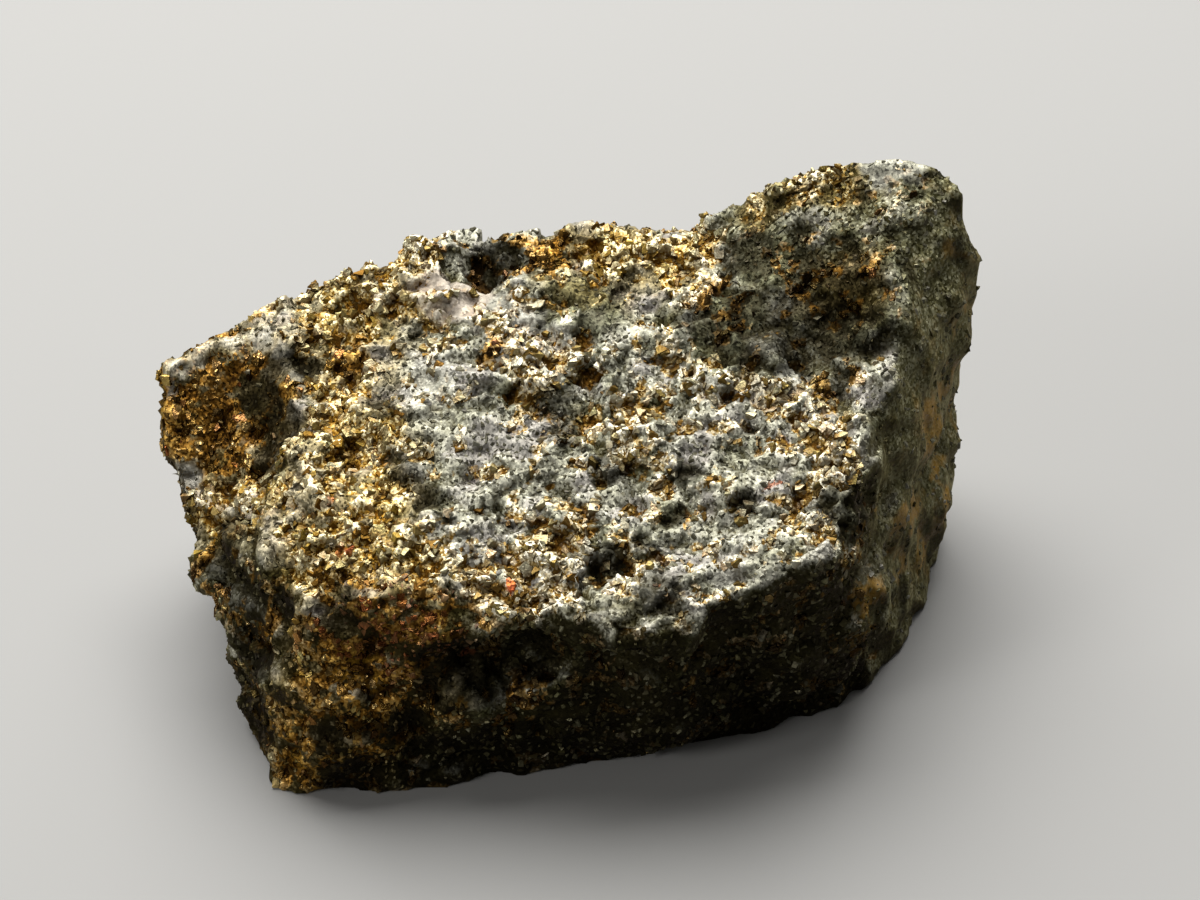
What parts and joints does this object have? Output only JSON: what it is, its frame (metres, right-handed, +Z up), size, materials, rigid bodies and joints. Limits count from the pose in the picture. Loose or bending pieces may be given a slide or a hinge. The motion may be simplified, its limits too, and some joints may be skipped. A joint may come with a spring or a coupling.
{
  "type": "pyrite with magnetite ore lump",
  "caption": "Hand-sized broken lump of granular ore: brass-coloured pyrite grains grown with dark grey magnetite, one solid with a horn at one end and a flat resting face",
  "frame": {"origin": "on the flat resting face, under the middle of the lump's bounding box", "axes": "+Z up from the resting face, +X to the right along the long side toward the taller horn, +Y to the back, away from the low sloping front"},
  "size_m": [0.0524, 0.0354, 0.0273],
  "materials": {
    "pyrite_magnetite_ore": "coarse-grained broken surface of brass-coloured and dark grey metallic grains in a dull dark ground"
  },
  "bodies": {
    "root": {"pyrite_magnetite_lump": "pyrite_magnetite_ore"}
  },
  "joints": []
}
